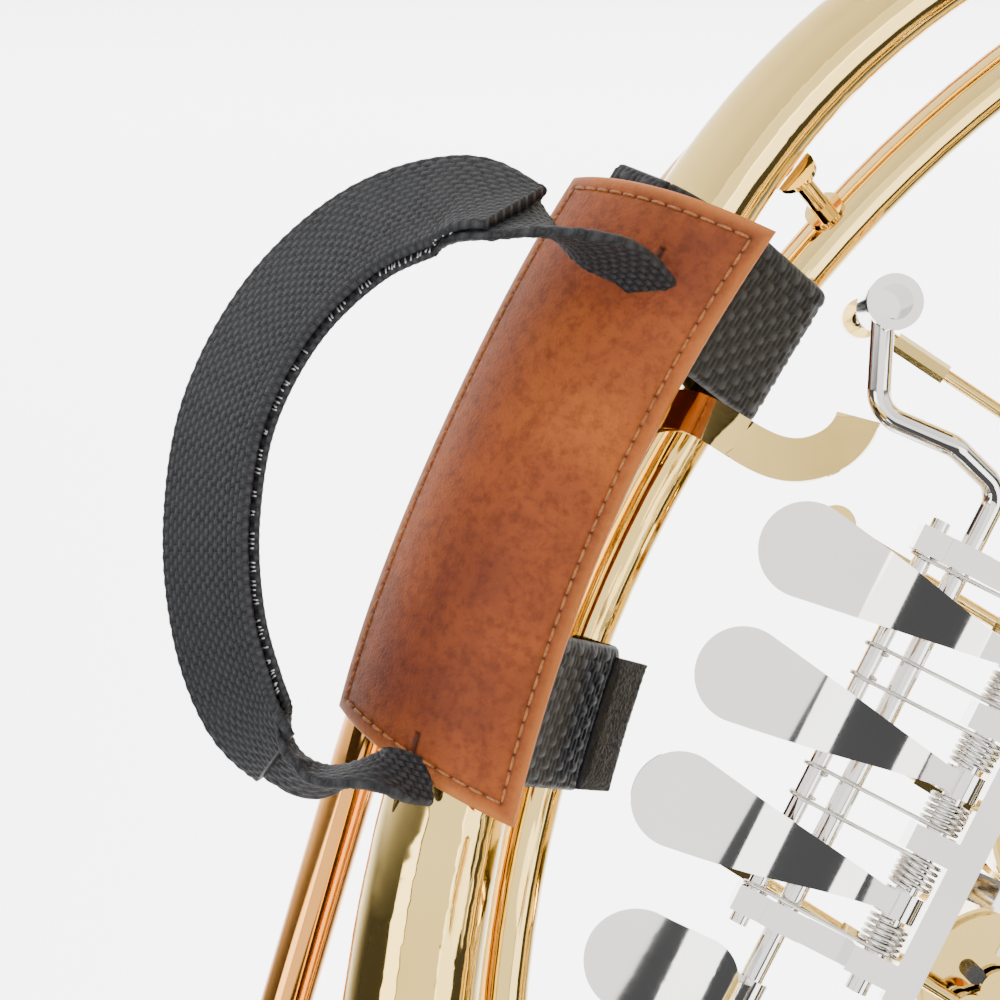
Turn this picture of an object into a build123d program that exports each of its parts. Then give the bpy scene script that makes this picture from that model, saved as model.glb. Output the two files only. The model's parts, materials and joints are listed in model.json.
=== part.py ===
from build123d import *
import math
import os

# French horn, standing on its bell.  Millimetres, +Z up.  The bell axis is vertical.
# The body loop lies in the XZ plane: bell tail up the left side, outer branch down the right side.
# The finger levers are on the -Y side.

# ---- driving dimensions -------------------------------------------------------------------
BELL_RIM_R = 155.0
BELL_FLARE_SHIFT = 23.5
BELL_FLARE_POWER = 0.7
BELL_FLARE_TOP_Z = 200.0
SHEET = 0.6
RIM_WIRE_R = 2.2

LOOP_TOP_R = 160.0
LOOP_SHOULDER_Z = 380.0
GRIP_R = 357.0
GRIP_TURN = 35.0
FOOT_R = 150.0
FOOT_TURN = 55.0
TAIL_TOP_R = 20.0
BRANCH_TAPER = 0.0222

TUBE_R = 6.5
TUBE_BORE_R = 5.75
SLIDE_R = 5.7
SLIDE_BORE_R = 5.1
LEADPIPE_R = 5.2
INNER_BRANCH_R = 5.5

KEY_TILT = 27.0
KEY_ORIGIN = (214.9, -28.0, 291.5)
LEVER_PITCH = 25.0
VALVE_PITCH = 34.0
AXLE_R = 2.2
PADDLE_REACH = 47.0
PADDLE_R = 8.7
PADDLE_RISE = 19.0
BALL_R = 2.4
NECK_R = 1.2
BALL_X = 38.0
BALL_Y = 40.0
THUMB_AXIS = (17.5, 4.0)
THUMB_ROD_R = 2.2
EYE = (52.0, -73.0)
THUMB_Z = 55.0

VALVE_X = -34.0
CASING_R = 15.5
CASING_BORE_R = 12.65
CASING_Y0 = 46.0
CASING_Y1 = 88.0
STOP_ARM_Y = 40.0
ROD_EYE_Y = 33.0
PIN_CLEARANCE = 1.9
STOP_ARM_R = 7.7
FLAT_LAYER_Y = 56.0
F_LAYER_Y = 77.0
SLIDE_HALF_SPAN = 9.0
KNUCKLE_R = 5.0

STRAP_W = 30.0
STRAP_T = 1.8
GUARD_LENGTH = 124.0
GUARD_MIDDLE = 24.2
GUARD_WRAP_R = 26.0
GUARD_T = 2.2
GUARD_HALF_ARC = 50.0
GUARD_FACING = 55.0
GUARD_STANDOFF = 3.0
WRAP_ANGLES = {"upper": 31.2, "lower": 17.0}

os.makedirs("parts", exist_ok=True)

TILT = math.radians(KEY_TILT)
KEY_X = Vector(math.cos(TILT), 0, -math.sin(TILT))
KEY_Z = Vector(math.sin(TILT), 0, math.cos(TILT))
KEY = Location(Plane(origin=KEY_ORIGIN, x_dir=KEY_X, z_dir=KEY_Z))
nodes = {}


def keep(name, shape, place=None):
    """Store one node as its separate solids, in the horn's frame."""
    if place is not None:
        shape = place * shape
    nodes[name] = list(shape.solids())


def group(shapes):
    return Compound([solid for shape in shapes for solid in shape.solids()])


def hull(circles, extra=0.0):
    """Face round several circles given as (x, y, radius), as a band pulled tight would lie."""
    edges = [edge for x, y, r in circles for edge in (Pos(x, y) * Circle(r + extra)).edges()]
    return make_hull(edges)


def rod_between(start, end, radius):
    """A solid round rod from one point to another."""
    direction = Vector(*end) - Vector(*start)
    plane = Plane(origin=start, z_dir=direction)
    return extrude(plane * Circle(radius), direction.length)


def ring_at(point, direction, outer, inner, length):
    """A plain ring centred on a point of a tube's centreline."""
    plane = Plane(origin=point, z_dir=direction)
    ring = Circle(outer) - Circle(inner)
    return extrude(plane * ring, length / 2, both=True)


def round_path(points, radii):
    return FilletPolyline(*points, radius=radii)


def tube_on(path, outer, inner=None):
    """A tube of constant section swept on a path of runs and arcs."""
    start = Plane(origin=path @ 0, z_dir=path % 0)
    solid = sweep(start * Circle(outer), path=path)
    if inner is not None:
        solid -= sweep(start * Circle(inner), path=path)
    return solid


# ---- the loop's centreline ----------------------------------------------------------------
LOOP_STRAIGHT = LOOP_SHOULDER_Z - BELL_FLARE_TOP_Z
TOP_LENGTH = math.pi * LOOP_TOP_R
GRIP_LENGTH = GRIP_R * math.radians(GRIP_TURN)
FOOT_LENGTH = FOOT_R * math.radians(FOOT_TURN)


def loop_point(s):
    """Point and direction at distance s past the top of the flare."""
    if s <= LOOP_STRAIGHT:
        return Vector(0, 0, BELL_FLARE_TOP_Z + s), Vector(0, 0, 1)
    s -= LOOP_STRAIGHT
    if s <= TOP_LENGTH:
        t = s / LOOP_TOP_R
        x = LOOP_TOP_R * (1 - math.cos(t))
        z = LOOP_SHOULDER_Z + LOOP_TOP_R * math.sin(t)
        return Vector(x, 0, z), Vector(math.sin(t), 0, math.cos(t))
    s -= TOP_LENGTH
    if s <= GRIP_LENGTH:
        t = s / GRIP_R
        x = 2 * LOOP_TOP_R - GRIP_R * (1 - math.cos(t))
        z = LOOP_SHOULDER_Z - GRIP_R * math.sin(t)
        return Vector(x, 0, z), Vector(-math.sin(t), 0, -math.cos(t))
    s -= GRIP_LENGTH
    a = math.radians(GRIP_TURN)
    t = a + s / FOOT_R
    x = 2 * LOOP_TOP_R - GRIP_R * (1 - math.cos(a)) - FOOT_R * (math.cos(a) - math.cos(t))
    z = LOOP_SHOULDER_Z - GRIP_R * math.sin(a) - FOOT_R * (math.sin(t) - math.sin(a))
    return Vector(x, 0, z), Vector(-math.sin(t), 0, -math.cos(t))


TAIL_END_S = LOOP_STRAIGHT + TOP_LENGTH / 2
GRIP_START_S = LOOP_STRAIGHT + TOP_LENGTH
BRANCH_END_S = GRIP_START_S + GRIP_LENGTH + FOOT_LENGTH


def bell_radius(z):
    shape = BELL_FLARE_SHIFT / (BELL_FLARE_SHIFT + z)
    return BELL_RIM_R * shape ** BELL_FLARE_POWER


TAIL_START_R = bell_radius(BELL_FLARE_TOP_Z)


def loop_radius(s):
    """Outer radius of the tail, then of the outer branch."""
    if s <= TAIL_END_S:
        return TAIL_START_R + (TAIL_TOP_R - TAIL_START_R) * s / TAIL_END_S
    return TAIL_TOP_R - BRANCH_TAPER * (s - TAIL_END_S)


def tapered_tube(s0, s1, count, thinner):
    sections = []
    for i in range(count + 1):
        s = s0 + (s1 - s0) * i / count
        point, direction = loop_point(s)
        plane = Plane(origin=point, x_dir=(0, 1, 0), z_dir=direction)
        sections.append(plane * Circle(loop_radius(s) - thinner))
    return loft(sections)


# ---- bell, tail and outer branch ----------------------------------------------------------
def make_bell():
    steps = 14
    heights = [BELL_FLARE_TOP_Z * (i / steps) ** 1.8 for i in range(steps + 1)]
    outer = [(bell_radius(z), z) for z in heights]
    inner = []
    for r, z in outer:
        slope = BELL_FLARE_POWER * r / (BELL_FLARE_SHIFT + z)
        scale = SHEET / math.hypot(1, slope)
        inner.append((r - scale, max(z - scale * slope, 0)))
    inner[-1] = (outer[-1][0] - SHEET, BELL_FLARE_TOP_Z)
    with BuildSketch(Plane.XZ) as profile:
        with BuildLine():
            Spline(*outer)
            Line(outer[-1], inner[-1])
            Spline(*reversed(inner))
            Line(inner[0], outer[0])
        make_face()
    keep("bell_flare", revolve(profile.sketch, Axis.Z))
    rim = Plane.XZ * Pos(BELL_RIM_R + RIM_WIRE_R + 0.05, RIM_WIRE_R) * Circle(RIM_WIRE_R)
    flat = Plane.XZ * Pos(BELL_RIM_R + RIM_WIRE_R + 0.05, 0.6) * Rectangle(2 * RIM_WIRE_R - 0.4, 1.2)
    keep("bell_rim_wire", revolve(rim + flat, Axis.Z))
    collar_z = BELL_FLARE_TOP_Z
    collar = ring_at((0, 0, collar_z), (0, 0, 1), TAIL_START_R + 1.6, TAIL_START_R + 0.9, 16)
    collar += ring_at((0, 0, collar_z), (0, 0, 1), TAIL_START_R + 2.6, TAIL_START_R + 0.9, 4)
    keep("bell_ferrule", collar)
    tail = tapered_tube(0, TAIL_END_S, 14, 0) - tapered_tube(0, TAIL_END_S, 14, SHEET)
    keep("bell_tail", tail)
    branch = tapered_tube(TAIL_END_S, BRANCH_END_S, 24, 0)
    branch -= tapered_tube(TAIL_END_S, BRANCH_END_S, 24, SHEET)
    keep("outer_branch", branch)


CHANGE_SIDE_X = 137.6


def make_branch_fittings():
    rings = []
    for s in (TAIL_END_S, BRANCH_END_S):
        point, direction = loop_point(s)
        r = loop_radius(s)
        rings.append(ring_at(point, direction, r + 1.5, r + 0.75, 14))
    keep("branch_ferrules", group(rings))
    end, _ = loop_point(BRANCH_END_S)
    x, z = end.X, end.Z
    rise_x = x - 38
    path = round_path(
        [(x, 0, z), (rise_x, 0, z), (rise_x, 0, z + 76), (rise_x + 12, 40, 246), (CHANGE_SIDE_X, 40, 246)],
        [34, 22, 14],
    )
    keep("branch_crook", tube_on(path, loop_radius(BRANCH_END_S), loop_radius(BRANCH_END_S) - SHEET))


# ---- mouthpipe and inner branch -----------------------------------------------------------
RECEIVER_END = Vector(380, 22, 465)
PIPE_BEND = Vector(322, 22, 268)
PIPE_DIRECTION = (RECEIVER_END - PIPE_BEND).normalized()
RECEIVER_LENGTH = 42.0
RECEIVER_BORE_R = 3.9
SLIDE_LEG_X = (74.0, 52.0)
MAIN_SLIDE_Y = 24.0
MAIN_SLIDE_Z = 160.0
MAIN_SLEEVE = 60.0


def make_mouthpipe():
    start = RECEIVER_END - PIPE_DIRECTION * (RECEIVER_LENGTH - 14)
    path = round_path(
        [
            tuple(start),
            tuple(PIPE_BEND),
            (262, 29, 172),
            (200, 31, 122),
            (SLIDE_LEG_X[0], 31, 108),
            (SLIDE_LEG_X[0], MAIN_SLIDE_Y, MAIN_SLIDE_Z),
        ],
        [170, 120, 90, 22],
    )
    keep("leadpipe", tube_on(path, LEADPIPE_R, LEADPIPE_R - SHEET))
    plane = Plane(origin=RECEIVER_END, z_dir=PIPE_DIRECTION * -1)
    shell = plane * extrude(Circle(6.9), RECEIVER_LENGTH)
    shell += plane * extrude(Circle(7.8), 4)
    shell += plane * Pos(0, 0, 30) * extrude(Circle(7.6), 3)
    shell -= plane * extrude(Circle(RECEIVER_BORE_R), 26)
    shell -= plane * Pos(0, 0, 26) * extrude(Circle(LEADPIPE_R), RECEIVER_LENGTH)
    keep("mouthpiece_receiver", shell)


def make_inner_branch():
    centre = Vector(38.0, 15.0, 361.6)
    r = 263.0

    def corner(angle_a, angle_b):
        """Where the tangents at two angles of the inner circle meet."""
        middle = math.radians((angle_a + angle_b) / 2)
        half = math.radians((angle_b - angle_a) / 2)
        reach = r / math.cos(half)
        return (centre.X + reach * math.cos(middle), 15, centre.Z - reach * math.sin(middle))

    run_out = math.radians(56)
    foot_x = 150.0
    foot_z = centre.Z - r * math.sin(run_out)
    foot_z -= (centre.X + r * math.cos(run_out) - foot_x) / math.tan(run_out)
    path = round_path(
        [
            (207.4, 42, 351.6),
            (221, 42, 378.3),
            (262, 42, 408),
            (centre.X + r, 15, 400),
            corner(0, 28),
            corner(28, 56),
            (foot_x, 15, foot_z),
            (SLIDE_LEG_X[1], 16, foot_z - 1),
            (SLIDE_LEG_X[1], MAIN_SLIDE_Y, MAIN_SLIDE_Z),
        ],
        [18, 18, 18, 262, 262, 55, 16],
    )
    keep("inner_branch", tube_on(path, INNER_BRANCH_R, INNER_BRANCH_R - SHEET))


def bow_tube(reach, half_span, radius, bore):
    """U of tube in the local XZ plane: legs along -X from x = 0, bow at x = -reach."""
    path = round_path(
        [(0, 0, -half_span), (-reach, 0, -half_span), (-reach, 0, half_span), (0, 0, half_span)],
        [half_span - 0.05, half_span - 0.05],
    )
    return tube_on(path, radius, bore)


def make_main_slide():
    sleeves = []
    for x in SLIDE_LEG_X:
        foot = (x, MAIN_SLIDE_Y, MAIN_SLIDE_Z + 0.5)
        top = (x, MAIN_SLIDE_Y, MAIN_SLIDE_Z + MAIN_SLEEVE)
        sleeve = rod_between(foot, top, TUBE_R) - rod_between(foot, top, TUBE_BORE_R)
        sleeve += ring_at((x, MAIN_SLIDE_Y, top[2] - 3), (0, 0, 1), TUBE_R + 0.9, TUBE_R - 0.2, 6)
        sleeves.append(sleeve)
    keep("main_slide_sleeves", group(sleeves))
    middle = sum(SLIDE_LEG_X) / 2
    half = (SLIDE_LEG_X[0] - SLIDE_LEG_X[1]) / 2
    place = Plane(origin=(middle, MAIN_SLIDE_Y, MAIN_SLIDE_Z + 22), x_dir=(0, 0, -1), z_dir=(1, 0, 0))
    keep("main_tuning_slide", bow_tube(84, half, SLIDE_R, SLIDE_BORE_R), Location(place))


# ---- valves -------------------------------------------------------------------------------
def along_y(y0, y1, radius, x=0.0, z=0.0):
    """Solid cylinder along the local Y axis of the key frame."""
    return Plane(origin=(x, y0, z), z_dir=(0, 1, 0)) * extrude(Circle(radius), y1 - y0)


def make_valve(number, z):
    x = VALVE_X
    casing = along_y(CASING_Y0, CASING_Y1, CASING_R, x, z)
    for y in (CASING_Y0, CASING_Y1 - 3):
        casing += along_y(y, y + 3, CASING_R + 0.9, x, z)
    casing -= along_y(CASING_Y0 - 1, CASING_Y1 + 1, CASING_BORE_R, x, z)
    keep(f"valve_casing_{number}", casing, KEY)

    cap = along_y(88.1, 93, 16.2, x, z) - along_y(88, 90.5, 13.4, x, z)
    for k in range(36):
        angle = math.radians(10 * k)
        groove = along_y(88, 94, 0.55, x + 16.4 * math.cos(angle), z + 16.4 * math.sin(angle))
        cap -= groove
    keep(f"valve_cap_{number}", cap, KEY)

    rotor = along_y(46.3, 86.0, CASING_BORE_R - 0.05, x, z)
    for y in (FLAT_LAYER_Y, F_LAYER_Y):
        for side in (-1, 1):
            hole = Plane(origin=(x - 20, y, z + side * 12.4), z_dir=(1, 0, 0))
            rotor -= hole * extrude(Circle(5.6), 40)
    rotor += along_y(STOP_ARM_Y - 1.4, 47, 3.0, x, z)
    reach = STOP_ARM_R / math.sqrt(2)
    arm = along_y(STOP_ARM_Y - 1.3, STOP_ARM_Y + 1.3, 4.6, x, z)
    arm += along_y(STOP_ARM_Y - 1.3, STOP_ARM_Y + 1.3, 2.4, x + reach, z + reach)
    arm += along_y(ROD_EYE_Y + PIN_CLEARANCE, STOP_ARM_Y, 1.3, x + reach, z + reach)
    lobe = Plane(origin=(x, STOP_ARM_Y, z), x_dir=(1, 0, 1), z_dir=(0, 1, 0))
    arm += lobe * Box(13.5, 4.0, 2.6)
    keep(f"rotor_{number}", rotor + arm, KEY)


def make_valve_tubes(centres):
    knuckles = []
    for low, high in zip(centres, centres[1:]):
        for y in (FLAT_LAYER_Y, F_LAYER_Y):
            start = (VALVE_X, y, low + CASING_R - 2)
            end = (VALVE_X, y, high - CASING_R + 2)
            knuckle = rod_between(start, end, KNUCKLE_R) - rod_between(start, end, KNUCKLE_R - SHEET)
            for z in (low, high):
                knuckle -= along_y(CASING_Y0 - 3, CASING_Y1 + 3, CASING_R + 0.02, VALVE_X, z)
            knuckles.append(knuckle)
    keep("valve_knuckles", group(knuckles), KEY)

    plates = []
    bumpers = []
    for z in centres:
        plates.append(along_y(43.4, 45.9, 15.2, VALVE_X, z) - along_y(43, 46, 3.06, VALVE_X, z))
        for angle in (187, 353):
            x = VALVE_X + 6.6 * math.cos(math.radians(angle))
            dz = 6.6 * math.sin(math.radians(angle))
            bumpers.append(along_y(38.4, 43.35, 1.8, x, z + dz))
    keep("bearing_plates", group(plates), KEY)
    keep("stop_bumpers", group(bumpers), KEY)


SLEEVE_LENGTH = {"flat": 34.0, "f": 50.0}
SLIDE_INSERT = {"flat": 26.0, "f": 40.0}
SLIDE_BOW = {"flat": 34.0, "f": 40.0}


def make_valve_slides(number, z):
    legs = []
    for name, y in (("flat", FLAT_LAYER_Y), ("f", F_LAYER_Y)):
        wall_x = VALVE_X - math.sqrt(CASING_R ** 2 - (SLIDE_HALF_SPAN + 2) ** 2)
        mouth_x = wall_x - SLEEVE_LENGTH[name]
        for side in (-1, 1):
            start = (VALVE_X - 5, y, z + side * SLIDE_HALF_SPAN)
            end = (mouth_x, y, z + side * SLIDE_HALF_SPAN)
            leg = rod_between(start, end, TUBE_R) - rod_between(start, end, TUBE_BORE_R)
            leg += ring_at((mouth_x + 3, y, end[2]), (1, 0, 0), TUBE_R + 0.9, TUBE_R - 0.2, 6)
            leg -= along_y(CASING_Y0 - 3, CASING_Y1 + 3, CASING_R + 1.0, VALVE_X, z)
            legs.append(leg)
        start_x = mouth_x + SLIDE_INSERT[name]
        reach = SLIDE_INSERT[name] + SLIDE_BOW[name]
        bow = Pos(start_x, y, z) * bow_tube(reach, SLIDE_HALF_SPAN, SLIDE_R, SLIDE_BORE_R)
        keep(f"{name}_slide_{number}", bow, KEY)
    keep(f"slide_sleeves_{number}", group(legs), KEY)


# ---- key work -----------------------------------------------------------------------------
def along_z(z0, z1, radius, x=0.0, y=0.0):
    return Pos(x, y, z0) * extrude(Circle(radius), z1 - z0)


def make_key_bridge():
    keep("lever_axle", along_z(-43, 43, AXLE_R), KEY)
    frame = Pos(-7.5, 0, 0) * Box(5.6, 4, 84)
    for z in (-37.5, -12.5, 12.5, 37.5):
        frame += Pos(-0.2, 0, z) * Box(9.4, 9, 5)
    for z in (-37.5, 37.5):
        frame += Pos(13.5, 3.5, z) * Box(24, 4, 5)
        frame += Pos(17.5, 4, z) * Box(8, 8, 5)
        frame += Pos(24.5, 4, z) * Box(6, 6.4, 5)
    for z in (-17, 17):
        path = round_path([(-7.5, 0, z), (-12, 22, z), (VALVE_X + 6, 41.9, z), (VALVE_X - 4, 41.9, z)], [8, 6])
        strip = Plane(origin=path @ 0, x_dir=(0, 0, 1), z_dir=path % 0) * Rectangle(6, 2.4)
        frame += sweep(strip, path=path)
        frame += Pos(VALVE_X - 1, 42.85, z) * Box(10, 1.0, 22)
    frame -= along_z(-60, 60, AXLE_R + 0.01)
    frame -= along_z(-60, 60, THUMB_ROD_R + 0.05, *THUMB_AXIS)
    frame -= along_z(-60, 60, 1.8, 24.5, 4)
    keep("lever_bridge", frame, KEY)
    keep("key_rail", along_z(-42, 42, 1.79, 24.5, 4), KEY)


def paddle_profile_y(x):
    """Height of the finger plate above the axle, an S from the hub up to the flat paddle."""
    t = min(max((x - 6) / 30, 0), 1)
    smooth = t * t * (3 - 2 * t)
    return -3.2 - (PADDLE_RISE - 3.2) * smooth


def paddle_plate(tip_x, reach, radius):
    """Teardrop outline in the local XZ plane, extruded along Y."""
    lean = math.asin((radius - 2.4) / (reach - tip_x))
    sx, sz = math.sin(lean), math.cos(lean)
    face = Plane.XZ * Pos(reach, 0) * Circle(radius)
    face += Plane.XZ * Pos(tip_x, 0) * Circle(2.4)
    face += Plane.XZ * Polygon(
        (tip_x + 2.4 * -sx, 2.4 * sz),
        (reach + radius * -sx, radius * sz),
        (reach + radius * -sx, -radius * sz),
        (tip_x + 2.4 * -sx, -2.4 * sz),
        align=None,
    )
    return extrude(face, 40, both=True)


def side_ribbon(points, thickness, half_width):
    """A bent strip: its side outline in the local XY plane, extruded along Z."""
    line = Spline(*points)
    strip = Plane(origin=line @ 0, x_dir=(0, 0, 1), z_dir=line % 0) * Rectangle(2 * half_width, thickness)
    return sweep(strip, path=line)


def make_finger_lever(number, place):
    z = LEVER_PITCH * place
    far_z = VALVE_PITCH * place
    samples = [4, 12, 20, 28, 36, 46, PADDLE_REACH + PADDLE_R + 2]
    plate = side_ribbon([(x, paddle_profile_y(x), 0) for x in samples], 1.3, 12)
    plate &= paddle_plate(6.0, PADDLE_REACH, PADDLE_R)
    hub = along_z(-2.6, 2.6, 4.0)
    hub += Pos(3.0, -2.2, 0) * Box(8, 2.8, 4.4)
    lever = Pos(0, 0, z) * (plate + hub)
    arm = round_path([(1.5, 1, z), (12, 25, z + 0.4 * (far_z - z)), (BALL_X, 29, far_z), (BALL_X, 35, far_z)],
                     [9, 5])
    lever += tube_on(arm, 1.7)
    lever += rod_between((BALL_X, 34.5, far_z), (BALL_X, BALL_Y, far_z), NECK_R)
    lever += Pos(BALL_X, BALL_Y, far_z) * Sphere(BALL_R)
    lever -= along_z(-60, 60, AXLE_R + 0.05)
    keep(f"finger_lever_{number}", lever, KEY)

    coils = []
    for side in (-1, 1):
        middle = z + side * 6.3
        coil = along_z(middle - 3.2, middle + 3.2, 4.3) - along_z(middle - 4, middle + 4, 3.3)
        start = (3.8, -1.5, middle + side * 2.4)
        rail_side = (23.2, 1.6, middle + side * 2.4)
        coils.append(coil + rod_between(start, rail_side, 0.45))
    keep(f"lever_spring_{number}", group(coils), KEY)


def make_push_rod(number, ball, pin):
    ring = along_y(ball[1] - 1.7, ball[1] + 1.7, 4.0, ball[0], ball[2])
    ring -= Pos(*ball) * Sphere(BALL_R + 0.12)
    direction = (Vector(*pin) - Vector(*ball)).normalized()
    start = Vector(*ball) + direction * 3.4
    end = Vector(*pin) - direction * 2.6
    rod = ring + rod_between(tuple(start), tuple(end), 1.3)
    for t in (0.10, 0.55):
        a = Vector(*ball) + (Vector(*pin) - Vector(*ball)) * t
        b = a + direction * 12
        rod += extrude(Plane(origin=a, z_dir=direction) * RegularPolygon(2.0, 6), (b - a).length)
    eye = along_y(pin[1] - 1.0, pin[1] + 1.0, 3.4, pin[0], pin[2])
    eye -= along_y(pin[1] - 3, pin[1] + 3, 1.6, pin[0], pin[2])
    keep(f"push_rod_{number}", rod + eye, KEY)


def make_thumb_lever():
    ax, ay = THUMB_AXIS
    ex, ez = EYE
    path = round_path(
        [(ax, ay, 62), (ax, ay, -52), (ax + 12, ay - 6, -55), (ex - 7, ay - 6, -54), (ex, ay - 6, ez + 3)],
        [5, 5, 6],
    )
    lever = tube_on(path, THUMB_ROD_R)
    eye = along_y(ay - 12, ay + 8, 4.6, ex, ez)
    eye += along_y(ay - 12.6, ay - 10.6, 5.2, ex, ez)
    eye -= along_y(ay - 13, ay - 4, 3.3, ex, ez)
    lever += eye
    lever += rod_between((ex, ay + 6, ez), (ex, 35, ez), 1.7)
    lever += rod_between((ex, 34.5, ez), (ex, BALL_Y, ez), NECK_R)
    lever += Pos(ex, BALL_Y, ez) * Sphere(BALL_R)
    keep("thumb_rod", lever, KEY)
    rise = [(ax, ay - 2.6, 0), (ax + 6, ay - 9, 0), (ax + 14, ay - 13.5, 0), (ax + 34, ay - 14.5, 0)]
    stem = side_ribbon(rise, 1.3, 16)
    outline = Plane.XZ * Pos(ax + 17, THUMB_Z) * SlotOverall(30, 19)
    outline += Plane.XZ * Pos(ax + 4, THUMB_Z) * Rectangle(12, 8)
    paddle = Pos(0, 0, THUMB_Z) * stem & extrude(outline, 60, both=True)
    collar = along_z(THUMB_Z - 5, THUMB_Z + 5, 3.4, ax, ay) - along_z(0, 90, THUMB_ROD_R, ax, ay)
    keep("thumb_paddle", paddle + collar, KEY)


# ---- left-hand fittings on the outer branch -----------------------------------------------
def grip_plane(theta):
    """Plane across the outer branch at an angle down the grip arc: x outward, y away, z down the tube."""
    s = GRIP_START_S + GRIP_R * math.radians(theta)
    point, direction = loop_point(s)
    outward = Vector(math.cos(math.radians(theta)), 0, -math.sin(math.radians(theta)))
    return Plane(origin=point, x_dir=outward, z_dir=direction), loop_radius(s)


def make_pinky_hook():
    curve = [(272, -6.2, 223.3), (264, -18, 222.5), (255.5, -31, 228), (246, -37, 231.8), (239, -38, 229.5),
             (235, -38, 224)]
    path = Spline(*curve)
    strip = Plane(origin=path @ 0, x_dir=(0.45, 0, 0.89), z_dir=path % 0) * Rectangle(8.0, 1.6)
    plane = Plane(origin=(272.5, -6.0, 223.0), x_dir=(0.45, 0, 0.89), z_dir=(-0.772, -0.5, 0.391))
    flange = plane * extrude(RectangleRounded(12, 9, 2.5), 1.4)
    hook = sweep(strip, path=path) - plane * Pos(0, 0, -4) * extrude(Rectangle(30, 30), 5.5)
    keep("pinky_hook", hook.solids().sort_by(SortBy.VOLUME)[-1])
    keep("pinky_hook_flange", flange)


def make_braces():
    braces = []
    for s in (GRIP_START_S + 8, GRIP_START_S + GRIP_LENGTH + 8):
        point, direction = loop_point(s)
        r = loop_radius(s)
        inward = direction.cross(Vector(0, 1, 0))
        if inward.X > 0:
            inward = inward * -1
        foot = point + inward * (r + 0.3)
        target = Vector(38.0, 15.0, 361.6)
        gap = Vector(foot.X - target.X, 0, foot.Z - target.Z)
        tube_point = target + gap.normalized() * 263.0
        link = (tube_point - foot).normalized()
        head = tube_point - link * (INNER_BRANCH_R + 0.3)
        brace = rod_between(tuple(foot), tuple(head), 2.0)
        brace += rod_between(tuple(foot), tuple(foot + link * 1.2), 4.6)
        brace += rod_between(tuple(head), tuple(head - link * 1.2), 4.0)
        brace -= rod_between(tuple(point - direction * 9), tuple(point + direction * 9), r + 0.35)
        braces.append(brace)
    keep("body_braces", group(braces))


GRIP_AXIS = Axis((2 * LOOP_TOP_R - GRIP_R, 0, LOOP_SHOULDER_Z), (0, 1, 0))


def turn_along_grip(section, theta, length):
    """Solid of one section carried along the grip arc, centred on an angle."""
    half_turn = math.degrees(length / 2 / GRIP_R)
    plane, _ = grip_plane(theta - half_turn)
    return revolve(plane * section, GRIP_AXIS, revolution_arc=2 * half_turn)


def make_guard():
    """Leather plate bowed over the tube, its crown turned from outward to the player's side."""
    _, thick_end_r = grip_plane(GUARD_MIDDLE - math.degrees(GUARD_LENGTH / 2 / GRIP_R))
    centre = thick_end_r + GUARD_STANDOFF - GUARD_WRAP_R
    ring = Circle(GUARD_WRAP_R + GUARD_T) - Circle(GUARD_WRAP_R)
    reach = 2 * GUARD_WRAP_R
    wedge_x = reach * math.cos(math.radians(GUARD_HALF_ARC))
    wedge_y = reach * math.sin(math.radians(GUARD_HALF_ARC))
    wedge = make_face(Polyline((0, 0), (wedge_x, -wedge_y), (2 * reach, 0), (wedge_x, wedge_y), close=True))
    section = Rot(0, 0, GUARD_FACING) * Pos(centre, 0) * (ring & wedge)
    keep("leather_guard", turn_along_grip(section, GUARD_MIDDLE, GUARD_LENGTH))


def make_wrap_straps():
    """Webbing pulled round the outer branch, the inner branch and under the guard's two edges."""
    for name, theta in WRAP_ANGLES.items():
        half_turn = math.degrees(STRAP_W / 2 / GRIP_R)
        plane, r = grip_plane(theta - half_turn)
        circles = [(0, 0, r + 0.4), (-10.5, 11.0, 0.8), (16.0, -4.5, 0.8)]
        for side in (-1, 1):
            end_plane, _ = grip_plane(theta + side * half_turn)
            inward = Vector(38.0, 0, 361.6) - end_plane.origin
            gap = inward.length - 263.0
            circles.append((-gap, -15, INNER_BRANCH_R + 0.4))
        band = hull(circles, STRAP_T) - hull(circles)
        keep(f"wrap_strap_{name}", turn_along_grip(band, theta, STRAP_W))
    tab = Pos(-30.0, -9.0) * Rot(0, 0, 62) * Rectangle(15, 2.6)
    keep("hook_and_loop_tab", turn_along_grip(tab, WRAP_ANGLES["lower"], STRAP_W))


STRAP_LINE = [
    (302, -10, 182), (324, -8, 191.5), (344, -6, 208), (354, -6, 230), (355, -6, 252), (350, -7, 273), (338, -9, 288),
]
STRAP_SLITS = [(271, -24.5, 200), (309, -24.5, 289)]


def make_hand_strap():
    """Two webbing layers in an open loop outside the guard, their width leaning away from the levers."""
    line = [STRAP_SLITS[0], (284, -27, 188)] + STRAP_LINE + [(324, -20, 297), STRAP_SLITS[1]]
    centre = Vector(300, -10, 238)
    for name, offset in (("hand_strap_inner", 0.0), ("hand_strap_outer", 3.0)):
        stations = line if offset == 0 else line[2:-2]
        sections = []
        for k, point in enumerate(stations):
            here = Vector(*point)
            ahead = Vector(*stations[min(k + 1, len(stations) - 1)])
            behind = Vector(*stations[max(k - 1, 0)])
            along = (ahead - behind).normalized()
            away = here - centre
            width = (Vector(0, 1, 0) + Vector(away.X, 0, away.Z).normalized() * 0.9).normalized()
            width = (width - along * width.dot(along)).normalized()
            near_end = offset == 0 and k in (0, len(stations) - 1)
            half = 4.0 if near_end else 13.5
            outward = along.cross(width)
            if outward.dot(away) < 0:
                outward = outward * -1
            plane = Plane(origin=here + outward * offset, x_dir=width, z_dir=along)
            sections.append(plane * Rectangle(2 * half, STRAP_T))
        keep(name, loft(sections, ruled=True))


# ---- assembly -----------------------------------------------------------------------------
VALVE_PLACES = {1: 1, 2: 0, 3: -1, 4: -2}


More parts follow.
